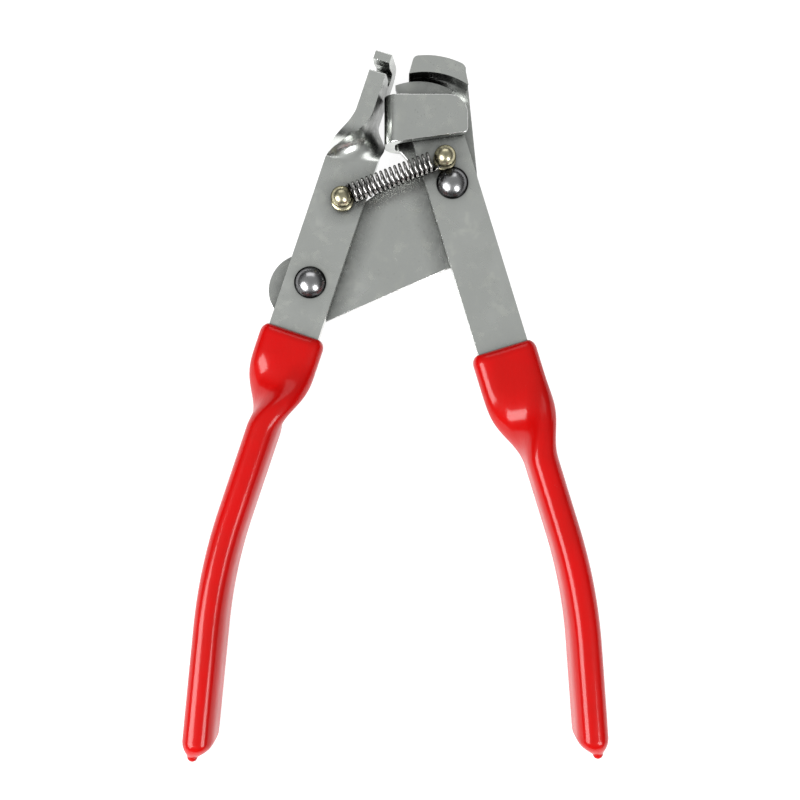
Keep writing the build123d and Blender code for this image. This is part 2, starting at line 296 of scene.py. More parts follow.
def thicken(bm, low, high):
    """Give a flat outline its thickness, from one level to another."""
    bmesh.ops.translate(bm, vec=(0, 0, low), verts=bm.verts)
    made = bmesh.ops.extrude_face_region(bm, geom=bm.faces[:])
    moved = [item for item in made["geom"] if isinstance(item, bmesh.types.BMVert)]
    bmesh.ops.translate(bm, vec=(0, 0, high - low), verts=moved)
    bmesh.ops.recalc_face_normals(bm, faces=bm.faces)


def round_edges(bm, size, segments=3, chosen=None):
    """Round the sharp edges, and mark the new faces for the wear on them."""
    mark = bm.faces.layers.float.get("edge") or bm.faces.layers.float.new("edge")
    sharp = [
        edge for edge in bm.edges
        if edge.is_manifold and edge.calc_face_angle() > radians(40)
        and (chosen is None or chosen(edge))
    ]
    made = bmesh.ops.bevel(
        bm, geom=sharp, affect="EDGES", offset=size, segments=segments, profile=0.5,
        material=-1, clamp_overlap=True,
    )
    for face in made["faces"]:
        face[mark] = 1.0


def cut(bm, axis, places, inside=None):
    """Cut across an axis at each place, so that the faces there can bend."""
    normal = Vector((0, 0, 0))
    normal[axis] = 1
    for place in places:
        faces = [face for face in bm.faces if inside is None or inside(face.calc_center_median())]
        edges = {edge for face in faces for edge in face.edges}
        verts = {vert for face in faces for vert in face.verts}
        bmesh.ops.bisect_plane(
            bm, geom=faces + list(edges) + list(verts), dist=1e-8, plane_co=normal * place,
            plane_no=normal,
        )


def spaced(start, end, count):
    """Evenly spaced places from start to end, both ends included."""
    return [start + (end - start) * step / count for step in range(count + 1)]


def form(bm, shape):
    """Move every point of a blank to its place in the finished shape."""
    for vert in bm.verts:
        vert.co = shape(vert.co)


def placed(name, data):
    """A new object in the scene."""
    made = bpy.data.objects.new(name, data)
    bpy.context.collection.objects.link(made)
    return made


def meshed(name, bm):
    """A new object in the scene, made of a bmesh."""
    mesh = bpy.data.meshes.new(name)
    bm.to_mesh(mesh)
    bm.free()
    return placed(name, mesh)


def combined(bm, tool, operation):
    """Join a second closed shape to the first, or cut it away."""
    work = meshed("work", bm)
    other = meshed("tool", tool)
    change = work.modifiers.new("combine", "BOOLEAN")
    change.object = other
    change.operation = operation
    change.solver = "EXACT"
    bpy.context.view_layer.update()
    result = bmesh.new()
    result.from_object(work, bpy.context.evaluated_depsgraph_get())
    bpy.data.objects.remove(work)
    bpy.data.objects.remove(other)
    return result


def drilled(bm, centre, radius, low, high):
    """Cut a round hole through a flat blank."""
    tool = bmesh.new()
    middle = Matrix.Translation((centre[0], centre[1], (low + high) / 2))
    bmesh.ops.create_cone(
        tool, cap_ends=True, segments=48, radius1=radius, radius2=radius, depth=2 * (high - low),
        matrix=middle,
    )
    return combined(bm, tool, "DIFFERENCE")


def turned(profile, centre, steps=64):
    """Turn an open profile of (radius, level) points about a line through the centre."""
    bm = bmesh.new()
    verts = [bm.verts.new((centre[0] + radius, centre[1], level)) for radius, level in profile]
    edges = [bm.edges.new(pair) for pair in zip(verts, verts[1:])]
    bmesh.ops.spin(
        bm, geom=verts + edges, cent=(centre[0], centre[1], 0), axis=(0, 0, 1), angle=2 * pi,
        steps=steps, use_merge=True,
    )
    bmesh.ops.remove_doubles(bm, verts=bm.verts, dist=1e-7)
    bmesh.ops.recalc_face_normals(bm, faces=bm.faces)
    return bm


def add_piece(name, bm, material, nodes, body=None):
    """Make the finished object, hide the nodes that it replaces, and attach it to the body that it
    moves with, if one is given.
    """
    piece = meshed(name, bm)
    piece.data.shade_smooth()
    piece.data.set_sharp_from_angle(angle=radians(50))
    piece.data.materials.append(material)
    normals = piece.modifiers.new("normals", "WEIGHTED_NORMAL")
    normals.keep_sharp = True
    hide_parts(*nodes)
    if body:
        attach(piece, body)
    return piece


def ease(t):
    """From 0 to 1 with no slope at either end."""
    t = min(max(t, 0), 1)
    return t * t * (3 - 2 * t)


# ---- a lever's own plane ----


class LeverForm:
    """Where a point of a lever's flat blank ends up once the bar is twisted and bent."""

    def __init__(self, side):
        bar = bpy.context.scene.puller_bar
        nose = bpy.context.scene.puller_nose
        number = SIDES.index(side)
        self.half = bar.width / 2
        self.jog = bar.jog[number]
        self.twist = (bar.twist_start[number], bar.twist_end[number])
        self.handle_turn = bar.handle_turn
        self.bend_start = bar.bend_start[number]
        self.bend = bar.bend[number]
        self.bend_radius = bar.bend_radius
        self.bend_end = self.bend_start - bar.bend_radius * abs(self.bend)
        self.end = bar.end[number]
        self.grip_top = bar.grip_top[number]
        self.nose = nose if side == "left" else None
        turn = Matrix.Rotation(-bar.lean[number], 4, "Z")
        self.matrix = Matrix.Translation(PIVOTS[side + "_pivot"]) @ turn

    def turn(self, across, along):
        """How far the bar is turned about itself, and how far it is shifted to the right."""
        if along < 0:
            share = ease((along - self.twist[0]) / (self.twist[1] - self.twist[0]))
            return self.handle_turn * share, self.jog * share
        if self.nose and along > self.nose.twist_start:
            right = (across + self.half) / (2 * self.half)
            start = self.nose.twist_start + self.nose.lag * right
            t = min(max((along - start) / (self.nose.twist_end - start), 0), 1)
            share = (1 - right) * sin(t * pi / 2) + right * ease(t)
            return self.nose.turn * share, self.nose.shift * share
        return 0, 0

    def spine(self, along):
        """The middle of the bar at a place along it, and how far it leans there."""
        if along >= self.bend_start:
            return 0, along, 0
        past = self.bend_start - along
        way = 1 if self.bend > 0 else -1
        lean = min(past / self.bend_radius, abs(self.bend))
        rest = max(self.bend_end - along, 0)
        across = way * (self.bend_radius * (1 - cos(lean)) + rest * sin(lean))
        return across, self.bend_start - self.bend_radius * sin(lean) - rest * cos(lean), way * lean

    def place(self, point):
        """A point of the blank, in the tool."""
        across, along, out = point
        turn, shift = self.turn(across, along)
        middle, reach, lean = self.spine(along)
        sideways = across * cos(turn) + out * sin(turn) + shift
        level = out * cos(turn) - across * sin(turn)
        return self.matrix @ Vector(
            (middle + sideways * cos(lean), reach + sideways * sin(lean), level)
        )


# ---- finishes ----


def put(tree, socket, value):
    """Give a socket a value, or link it to another socket."""
    if isinstance(value, bpy.types.NodeSocket):
        tree.links.new(value, socket)
    else:
        socket.default_value = value


def add_node(tree, kind, settings=None, **sockets):
    """A node with its settings, and with a value or a link for each socket that is named."""
    node = tree.nodes.new(kind)
    for key, value in (settings or {}).items():
        setattr(node, key, value)
    for label, value in sockets.items():
        put(tree, node.inputs[label.replace("_", " ")], value)
    return node


def calculated(tree, operation, *values, kind="ShaderNodeMath"):
    """The result of an operation on some values."""
    node = add_node(tree, kind, {"operation": operation})
    for number, value in enumerate(values):
        put(tree, node.inputs[number], value)
    return node.outputs[0]


def ranged(tree, value, start=0.0, end=1.0, low=0.0, high=1.0, smooth=False):
    """A value taken from the range start to end into the range low to high."""
    settings = {"interpolation_type": "SMOOTHSTEP" if smooth else "LINEAR"}
    return add_node(
        tree, "ShaderNodeMapRange", settings, Value=value, From_Min=start, From_Max=end,
        To_Min=low, To_Max=high,
    ).outputs[0]


def noise(tree, vector, scale, detail, **more):
    """The grey value of a noise."""
    return add_node(
        tree, "ShaderNodeTexNoise", Vector=vector, Scale=scale, Detail=detail, **more
    ).outputs[0]


def new_group(name, result, **values):
    """A shader group with a vector, some values with their defaults, and one result."""
    group = bpy.data.node_groups.new(name, "ShaderNodeTree")
    sockets = group.interface
    sockets.new_socket("Vector", in_out="INPUT", socket_type="NodeSocketVector")
    for label, default in values.items():
        socket = sockets.new_socket(label, in_out="INPUT", socket_type="NodeSocketFloat")
        socket.default_value = default
    sockets.new_socket(result, in_out="OUTPUT", socket_type="NodeSocketFloat")
    given = group.nodes.new("NodeGroupInput").outputs
    return group, given, group.nodes.new("NodeGroupOutput").inputs[0]


def blotches_group():
    """Soft uneven patches: how much of the second look shows, from 0 to 1."""
    group, given, result = new_group("Blotches", "Mask", Scale=100.0, Low=0.4, High=0.6)
    cloud = noise(group, given["Vector"], given["Scale"], 5.0, Roughness=0.6, Distortion=0.4)
    mask = ranged(group, cloud, given["Low"], given["High"], smooth=True)
    group.links.new(mask, result)
    return group


def specks_group():
    """Small scattered spots, such as pits and dust."""
    group, given, result = new_group("Specks", "Mask", Scale=800.0, Size=0.2, Patchiness=0.5)
    cells = add_node(
        group, "ShaderNodeTexVoronoi", Vector=given["Vector"], Scale=given["Scale"], Randomness=1.0
    )
    spots = ranged(group, cells.outputs["Distance"], given["Size"], 0.0)
    patches = noise(group, given["Vector"], 160.0, 3.0)
    shown = ranged(group, patches, given["Patchiness"], 0.75)
    group.links.new(calculated(group, "MULTIPLY", spots, shown), result)
    return group


def grain_group():
    """Fine lines along the rolling direction, as a height."""
    group, given, result = new_group("Grain", "Height", Scale=3000.0, Stretch=12.0)
    shrink = calculated(group, "DIVIDE", 1.0, given["Stretch"])
    squeeze = add_node(group, "ShaderNodeCombineXYZ", X=1.0, Y=shrink, Z=1.0).outputs[0]
    stretched = calculated(
        group, "MULTIPLY", given["Vector"], squeeze, kind="ShaderNodeVectorMath"
    )
    group.links.new(noise(group, stretched, given["Scale"], 4.0, Roughness=0.65), result)
    return group


def wear_group():
    """Brighter metal along rounded edges, broken up by noise."""
    group, given, result = new_group("Edge wear", "Mask", Amount=0.8)
    marked = add_node(group, "ShaderNodeAttribute", {"attribute_name": "edge"}).outputs["Fac"]
    uneven = ranged(group, noise(group, given["Vector"], 900.0, 3.0), 0.25, 0.6)
    part = calculated(group, "MULTIPLY", marked, uneven)
    group.links.new(calculated(group, "MULTIPLY", part, given["Amount"]), result)
    return group


def painted_shade_group():
    """Painted shade in corners and below overhangs, from ambient occlusion, broken up by noise."""
    group, given, result = new_group("Painted crevice shade", "Mask", Distance=0.006, Open=1.0, Amount=0.9)
    near = add_node(
        group, "ShaderNodeAmbientOcclusion", {"samples": 8}, Distance=given["Distance"]
    ).outputs["AO"]
    closed = ranged(group, near, given["Open"], 0.35, 0.0, given["Amount"])
    uneven = ranged(group, noise(group, given["Vector"], 500.0, 4.0), 0.2, 0.6, 0.7, 1.0)
    group.links.new(calculated(group, "MULTIPLY", closed, uneven), result)
    return group


class Finish:
    """A material under construction: its tree, its shader and the shared groups."""

    groups = {}
    makers = {
        "Blotches": blotches_group, "Specks": specks_group, "Grain": grain_group,
        "Edge wear": wear_group, "Painted crevice shade": painted_shade_group,
    }

    def __init__(self, name, **shader):
        self.material = bpy.data.materials.new(name)
        self.material.use_nodes = True
        self.tree = self.material.node_tree
        self.shader = self.tree.nodes["Principled BSDF"]
        self.vector = self.tree.nodes.new("ShaderNodeTexCoord").outputs["Object"]
        for label, value in shader.items():
            self.shader.inputs[label.replace("_", " ")].default_value = value

    def effect(self, name, **values):
        """Place a shared group, made the first time it is asked for."""
        if name not in self.groups:
            self.groups[name] = self.makers[name]()
        return add_node(
            self.tree, "ShaderNodeGroup", {"node_tree": self.groups[name]}, Vector=self.vector,
            **values,
        ).outputs[0]

    def mixed(self, base, other, mask):
        """Base colour, with another one where the mask is."""
        node = add_node(self.tree, "ShaderNodeMix", {"data_type": "RGBA"})
        sockets = {socket.identifier: socket for socket in node.inputs}
        put(self.tree, sockets["Factor_Float"], mask)
        put(self.tree, sockets["A_Color"], base)
        put(self.tree, sockets["B_Color"], other)
        return next(out for out in node.outputs if out.identifier == "Result_Color")

    def feed(self, socket, source):
        """Link a value or a colour to the shader."""
        self.tree.links.new(source, self.shader.inputs[socket])

    def bumps(self, *heights):
        """Feed one or more heights to the shader's normal. Each is its source and its depth."""
        normal = None
        for source, depth in heights:
            bump = add_node(
                self.tree, "ShaderNodeBump", Height=source, Distance=depth, Strength=1.0
            )
            if normal:
                self.tree.links.new(normal, bump.inputs["Normal"])
            normal = bump.outputs[0]
        self.feed("Normal", normal)


def shade(rgb, factor):
    """A colour made lighter or darker."""
    return (*[min(part * factor, 1.0) for part in rgb], 1.0)


def zinc_finish(name, rough=0.27, specks=0.55):
    """Bright zinc on rolled steel: blotchy, finely grained, with worn edges and painted shade in
    its corners.
    """
    rgb = bpy.context.scene.puller_finish.zinc
    finish = Finish(name, Metallic=1.0, Roughness=rough)
    cloud = finish.effect("Blotches", Scale=70.0, Low=0.35, High=0.7)
    stain = finish.effect("Blotches", Scale=260.0, Low=0.5, High=0.68)
    pits = finish.effect("Specks", Scale=900.0, Size=0.22, Patchiness=specks)
    wear = finish.effect("Edge wear", Amount=0.75)
    grain = finish.effect("Grain", Scale=2600.0, Stretch=9.0)
    crevice_shade = finish.effect("Painted crevice shade", Distance=7 * MM)
    paint = finish.mixed(shade(rgb, 1.0), shade(rgb, 0.965), cloud)
    paint = finish.mixed(paint, shade((rgb[0], rgb[1], rgb[2] * 0.98), 1.02), stain)
    paint = finish.mixed(paint, shade(rgb, 0.45), pits)
    paint = finish.mixed(paint, shade(rgb, 1.5), wear)
    # Painted shade: corners, recesses and faces under overhangs are darkened from ambient
    # occlusion.
    paint = finish.mixed(paint, shade(rgb, 0.1), crevice_shade)
    finish.feed("Base Color", paint)
    tree = finish.tree
    stained = ranged(tree, stain, low=rough, high=rough + 0.035)
    dull = calculated(tree, "ADD", ranged(tree, cloud, low=-0.03, high=0.04), stained)
    finish.feed("Roughness", calculated(tree, "MULTIPLY_ADD", wear, -0.08, dull))
    finish.bumps((grain, 0.004 * MM), (cloud, 0.01 * MM), (pits, -0.02 * MM))
    return finish.material


def polished_finish(name, rgb, rough, stain_strength, shade_levels):
    """Polished or plated steel, with faint stains and fine scratches, and painted shade in its
    crevices. A band of painted shade is darkest at the first of the shade levels, and brightens up
    to the second level and within a millimetre or so below.
    """
    finish = Finish(name, Metallic=1.0, Roughness=rough, Specular_Tint=(0.15, 0.15, 0.15, 1.0))
    stain = finish.effect("Blotches", Scale=420.0, Low=0.42, High=0.66)
    pits = finish.effect("Specks", Scale=1500.0, Size=0.16, Patchiness=0.5)
    scratches = finish.effect("Grain", Scale=1900.0, Stretch=3.0)
    crevice_shade = finish.effect("Painted crevice shade", Distance=3 * MM, Open=0.95)
    tree = finish.tree
    # Painted shade: a band of darker colour by height, over the lower part of a dome or a coil.
    level = add_node(tree, "ShaderNodeSeparateXYZ", Vector=finish.vector).outputs["Z"]
    low = ranged(tree, level, shade_levels[0], shade_levels[1], 1.0, 0.0, smooth=True)
    above = ranged(tree, level, shade_levels[0] - 1.2 * MM, shade_levels[0] - 0.2 * MM)
    painted_band_shade = calculated(tree, "MULTIPLY", low, above)
    paint = finish.mixed(shade(rgb, 1.0), shade(rgb, 1 - stain_strength), stain)
    paint = finish.mixed(paint, shade(rgb, 0.4), pits)
    # Painted shade in crevices and under overhangs, from ambient occlusion.
    paint = finish.mixed(paint, shade(rgb, 0.08), crevice_shade)
    paint = finish.mixed(paint, shade(rgb, 0.05), painted_band_shade)
    finish.feed("Base Color", paint)
    finish.feed("Roughness", ranged(tree, stain, low=rough, high=rough + 0.07))
    finish.bumps((scratches, 0.003 * MM), (stain, 0.006 * MM))
    return finish.material


def vinyl_finish(name):
    """Glossy dipped vinyl: deep red, slightly wavy, with dust in places."""
    rgb = bpy.context.scene.puller_finish.vinyl
    finish = Finish(
        name, Roughness=0.4, Coat_Weight=0.45, Coat_Roughness=0.15, Specular_IOR_Level=0.06
    )
    cloud = finish.effect("Blotches", Scale=55.0, Low=0.3, High=0.7)
    dust = finish.effect("Specks", Scale=700.0, Size=0.10, Patchiness=0.55)
    waves = finish.effect("Grain", Scale=110.0, Stretch=2.5)
    peel = finish.effect("Blotches", Scale=1400.0, Low=0.3, High=0.8)
    paint = finish.mixed(shade(rgb, 1.0), shade((rgb[0], rgb[1] * 2.2, rgb[2]), 0.88), cloud)
    paint = finish.mixed(paint, shade((rgb[0], rgb[1] + 0.1, rgb[2] + 0.1), 0.75), dust)
    finish.feed("Base Color", paint)
    finish.feed("Roughness", ranged(finish.tree, cloud, low=0.34, high=0.46))
    finish.bumps((waves, 0.3 * MM), (peel, 0.003 * MM))
    return finish.material


# ---- operators ----


class PULLER_OT_levers(bpy.types.Operator):
    """Build the bars of both levers, with the notched nose and the cam"""

    bl_idname = "puller.levers"
    bl_label = "Levers"

    def left_corners(self, half, end, corner, nose):
        """The left blank: a straight bar with a notch in the left side of its top."""
        back = -half + nose.pocket_depth
        middle = back - nose.pocket_radius
        low_centre = (middle, nose.pocket[0] + nose.pocket_radius)
        high_centre = (middle, nose.pocket[1] - nose.pocket_radius)
        sill = degrees(asin((nose.mouth[0] - low_centre[1]) / nose.pocket_radius))
        return [
            (-half, end, corner), (half, end, corner), (half, nose.top, nose.back_radius),
            (-half, nose.top, nose.corner), (-half, nose.mouth[1], 0),
            (-half + nose.hook[0], nose.hook[1], nose.hook_radius),
            *arc(high_centre, nose.pocket_radius, 90, 0, 8),
            *arc(low_centre, nose.pocket_radius, 0, -180 - sill, 14),
            (-half, nose.mouth[0], nose.corner),
        ]

    def right_corners(self, half, end, corner, cam):
        """The right blank: a straight bar with an arc for its top."""
        reach = [across - cam.centre[0] for across in (half, -half)]
        ends = [degrees(atan2(sqrt(cam.radius**2 - x**2), x)) for x in reach]
        top = arc(cam.centre, cam.radius, ends[0], ends[1], 24)
        top[0] = (*top[0][:2], cam.corner / 2)
        return [(-half, end, corner), (half, end, corner), *top]

    def execute(self, context):
        bar = context.scene.puller_bar
        nose = context.scene.puller_nose
        cam = context.scene.puller_cam
        fastening = context.scene.puller_fastening
        zinc = zinc_finish("zinc_bar")
        half = bar.width / 2
        for side in SIDES:
            lever = LeverForm(side)
            if side == "left":
                bm = outline(self.left_corners(half, lever.end, bar.corner, nose))
            else:
                bm = outline(self.right_corners(half, lever.end, bar.corner, cam))
            low, high = -bar.thick / 2, bar.thick / 2
            thicken(bm, low, high)
            post = lever.matrix.inverted() @ post_centre(side)
            bm = drilled(bm, (0, 0), fastening.shank + fastening.play, low, high)
            bm = drilled(bm, post[:2], fastening.neck, low, high)
            round_edges(bm, bar.edge)
            cut(bm, 1, spaced(lever.twist[0], lever.twist[1], 24))
            cut(bm, 1, spaced(lever.bend_start, lever.bend_end, 10))
            cut(bm, 0, spaced(-half, half, 6)[1:-1], lambda centre: centre.y < lever.twist[0])
            if side == "left":
                cut(bm, 1, spaced(nose.twist_start, nose.twist_end, 40))
                cut(
                    bm, 0, spaced(-half, half, 12)[1:-1],
                    lambda centre: nose.twist_start < centre.y < nose.twist_end,
                )
            form(bm, lever.place)
            body = side + "_lever"
            add_piece(body + "_bar", bm, zinc, [body], body)
        return {"FINISHED"}


class PULLER_OT_grips(bpy.types.Operator):
    """Build the dipped grips, with a rolled lip, a tapered end and a drop below it"""

    bl_idname = "puller.grips"
    bl_label = "Grips"

    def ring(self, half_width, half_thick, grip, count=56):
        """Points across the grip: an oval with filled-out corners."""
        points = []
        for step in range(count):
            a = 2 * pi * (step + 0.5) / count
            points.append(Vector((
                half_width * copysign(abs(cos(a)) ** (2 / grip.flat), cos(a)),
                half_thick * copysign(abs(sin(a)) ** (2 / grip.round), sin(a)),
            )))
        return points

    def stations(self, lever, grip):
        """Places along the grip, down to the tip of its drop. Each has the thickness of the wall,
        how far the grip has narrowed to the drop, and the drop's radius.
        """
        mouth = lever.grip_top
        bottom = lever.end - grip.cap
        drop = grip.drip_radius
        made = []
        for turn in (80, 66, 52, 38, 25, 12, 0):
            a = radians(turn)
            made.append((mouth - grip.lip * (1 - sin(a)), grip.wall * cos(a), 0, drop))
        body = (
            spaced(mouth - grip.lip, lever.twist[0], 3)[1:-1]
            + spaced(lever.twist[0], lever.twist[1], 44)
            + spaced(lever.twist[1], lever.bend_start, 6)[1:]
            + spaced(lever.bend_start, lever.bend_end, 16)[1:]
            + spaced(lever.bend_end, bottom + grip.round_end, 6)[1:]
        )
        made += [(along, grip.wall, 0, drop) for along in body]
        for share in spaced(0, 1, 12)[1:]:
            made.append((bottom + grip.round_end * (1 - share), grip.wall, share**2, drop))
        for turn in spaced(0, 80, 6)[1:]:
            a = radians(turn)
            made.append((bottom - grip.drip_length * sin(a), grip.wall, 1, drop * cos(a)))
        return made

    def execute(self, context):
        bar = context.scene.puller_bar
        grip = context.scene.puller_grip
        vinyl = vinyl_finish("dipped_vinyl")
        half = Vector((bar.width, bar.thick)) / 2
        ring = self.ring(half.x + grip.wall, half.y + grip.wall, grip)
        for side in SIDES:
            lever = LeverForm(side)
            outward = grip.drip_outward if side == "left" else -grip.drip_outward
            middle = Vector((grip.drip_forward, outward))
            bm = bmesh.new()
            rows = []
            for along, wall, narrow, drop in self.stations(lever, grip):
                row = []
                for start in ring:
                    x = max(min(start.x, half.x), -half.x)
                    y = max(min(start.y, half.y), -half.y)
                    flat = Vector((x, y)).lerp(start, wall / grip.wall)
                    flat = flat.lerp(middle + start.normalized() * drop, narrow)
                    row.append(bm.verts.new(lever.place((flat.x, along, flat.y))))
                rows.append(row)
            for upper, lower in zip(rows, rows[1:]):
                for n in range(len(ring)):
                    bm.faces.new((upper[n - 1], upper[n], lower[n], lower[n - 1]))
            bm.faces.new(rows[0])
            bm.faces.new(rows[-1])
            bmesh.ops.recalc_face_normals(bm, faces=bm.faces)
            add_piece(
                side + "_dipped_grip", bm, vinyl, [side + "_grip"], side + "_lever"
            )
        return {"FINISHED"}


class PULLER_OT_plate(bpy.types.Operator):
    """Build the folded plate: link, box and lip"""

    bl_idname = "puller.plate"
    bl_label = "Plate"

    def execute(self, context):
        plate = context.scene.puller_plate
        fastening = context.scene.puller_fastening
        front = plate.back + plate.sheet
        middle = plate.fold_radius + plate.sheet / 2
        bend = middle * pi / 2
        fold_end = plate.fold_left + plate.sheet + plate.fold_radius
        web = plate.box_inner - front - 2 * plate.fold_radius
        reach = 2 * (fold_end - bend) - web - plate.box_right
        rise = (plate.box_right - plate.fold_left) * sin(plate.box_slope)
        # The blank starts at the link's round end, goes up the right side and down the left one.
        lobe = arc_through((-30.9, 45.2), (-37.8, 34.7), (-22.5, 24.6), 24)
        right_and_top = in_mm((27.4, 46.3, 6), (22.2, 97.0, 0), (5.2, 99.6, 0), (2.9, 94.3, 0.8))
        box = [
            (fold_end, plate.box_top, 0), (reach, plate.box_top, 6 * MM),
            (reach, plate.box_bottom + rise, 1.5 * MM),
            (fold_end - bend - web / 2, plate.box_bottom, 0),
            (fold_end, plate.box_bottom - 0.4 * MM, 0.8 * MM),
        ]
        bm = outline([*lobe, *right_and_top, *box, *in_mm((5.6, 72.2, 2))])
        thicken(bm, plate.back, front)
        for side in SIDES:
            bm = drilled(bm, PIVOTS[side + "_pivot"], fastening.shank, plate.back, front)
        round_edges(bm, plate.edge)
        cut(bm, 0, spaced(fold_end, fold_end - bend, 10))
        cut(bm, 0, spaced(fold_end - bend - web, fold_end - 2 * bend - web, 10))
        neutral = plate.back + plate.sheet / 2

        def fold(point):
            """Wrap the left of the blank forwards and back over the right lever."""
            past = fold_end - point.x
            if past <= 0 or point.y < plate.fold_bottom:
                return point
            out = point.z - neutral
            first = min(past, bend) / middle
            second = min(max(past - bend - web, 0), bend) / middle
            climb = min(max(past - bend, 0), web)
            onward = max(past - 2 * bend - web, 0)
            turn = first + second
            x = fold_end - middle * (cos(second) if second else sin(first))
            z = neutral + middle * (1 - cos(first)) + climb + middle * sin(second)
            return Vector((x + onward + out * sin(turn), point.y, z + out * cos(turn)))

        form(bm, fold)
        underside = arc_through((4.4, 98.4), (13.2, 98.5), (21.8, 95.0), 14)
        crest = arc_through((20.8, 99.9), (13.0, 102.5), (5.9, 102.5), 12)
        lip = outline([
            *underside, (*crest[0][:2], 2.2 * MM), *crest[1:-1], (*crest[-1][:2], 1.6 * MM),
        ])
        thicken(lip, plate.back, plate.lip_front)
        cut(lip, 2, [plate.flare])
        for vert in lip.verts:
            if vert.co.z > plate.flare + MM and vert.co.y < plate.lip_split[0]:
                vert.co.y -= plate.bead

        def at_bend(edge):
            """True for the edges round the top of the lip's back."""
            return all(
                vert.co.z < plate.back + MM / 2 and vert.co.y > plate.lip_split[1]
                for vert in edge.verts
            )

        round_edges(lip, plate.lip_bend, 6, at_bend)
        round_edges(lip, 2 * plate.edge, 3, lambda edge: not at_bend(edge))
        bm = combined(bm, lip, "UNION")
        zinc = zinc_finish("zinc_sheet", 0.25, 0.5)
        add_piece("folded_plate", bm, zinc, ["body_plate"], "body")
        return {"FINISHED"}


def post_centre(side):
    """Middle of a spring post, from its box."""
    low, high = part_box(side + "_spring_post")
    return (low + high) / 2


class PULLER_OT_fastenings(bpy.types.Operator):
    """Build the two pivot rivets and the two spring posts"""

    bl_idname = "puller.fastenings"
    bl_label = "Rivets and posts"

    def crown(self, size, level, rim):
        """A domed head from its middle out to the top of its rim, as radius and level."""
        radius, height = size
        rise = height - rim
        sphere = (radius**2 + rise**2) / (2 * rise)
        top = level + height
        steps = spaced(0, asin(radius / sphere), 20)
        return [(sphere * sin(a), top - sphere * (1 - cos(a))) for a in steps]

    def execute(self, context):
        fastening = context.scene.puller_fastening
        finish = context.scene.puller_finish
        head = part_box("left_pivot_rivet")[1].z - fastening.rivet_dome[1]
        # Painted shade over the lower part of each rivet's dome, darkest near its rim.
        shade_levels = (head + 0.5 * MM, head + 2.9 * MM)
        steel = polished_finish("polished_rivet", finish.rivet, 0.24, 0.12, shade_levels)
        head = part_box("left_spring_post")[1].z - fastening.post_dome[1]
        # Painted shade over the lower part of each post's dome, darkest near its rim.
        shade_levels = (head + 0.2 * MM, head + 2.0 * MM)
        gold = polished_finish("yellow_zinc", finish.gold, 0.27, 0.35, shade_levels)
        for side in SIDES:
            low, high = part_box(side + "_pivot_rivet")
            tail_radius, tail_height = fastening.rivet_tail
            tail = low.z + tail_height
            radius, height = fastening.rivet_dome
            head = high.z - height
            profile = self.crown(fastening.rivet_dome, head, 0.35 * MM)
            profile += [
                (radius, head + 0.1 * MM), (radius - 0.1 * MM, head), (fastening.shank, head),
                (fastening.shank, tail), (tail_radius - 0.15 * MM, tail),
                (tail_radius, tail - 0.15 * MM), (tail_radius, low.z + 0.6 * MM),
                (tail_radius - 0.6 * MM, low.z + 0.12 * MM), (tail_radius / 2, low.z),
                (0, low.z + 0.1 * MM),
            ]
            add_piece(
                side + "_rivet", turned(profile, (low + high) / 2), steel,
                [side + "_pivot_rivet"], "body",
            )
            low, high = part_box(side + "_spring_post")
            radius, height = fastening.post_dome
            head = high.z - height
            foot = head - fastening.post_reach
            neck = fastening.neck
            collar = fastening.collar
            profile = self.crown(fastening.post_dome, head, 0.3 * MM)
            profile += [
                (radius, head + 0.15 * MM), (radius - 0.15 * MM, head), (neck, head),
                (neck, foot + 0.9 * MM), (collar - 0.2 * MM, foot + 0.9 * MM),
                (collar, foot + 0.7 * MM), (collar, foot), (neck, foot),
                (neck, low.z + 0.1 * MM), (neck - 0.1 * MM, low.z), (0, low.z),
            ]
            add_piece(
                side + "_post", turned(profile, (low + high) / 2), gold,
                [side + "_spring_post"], side + "_lever",
            )
        return {"FINISHED"}


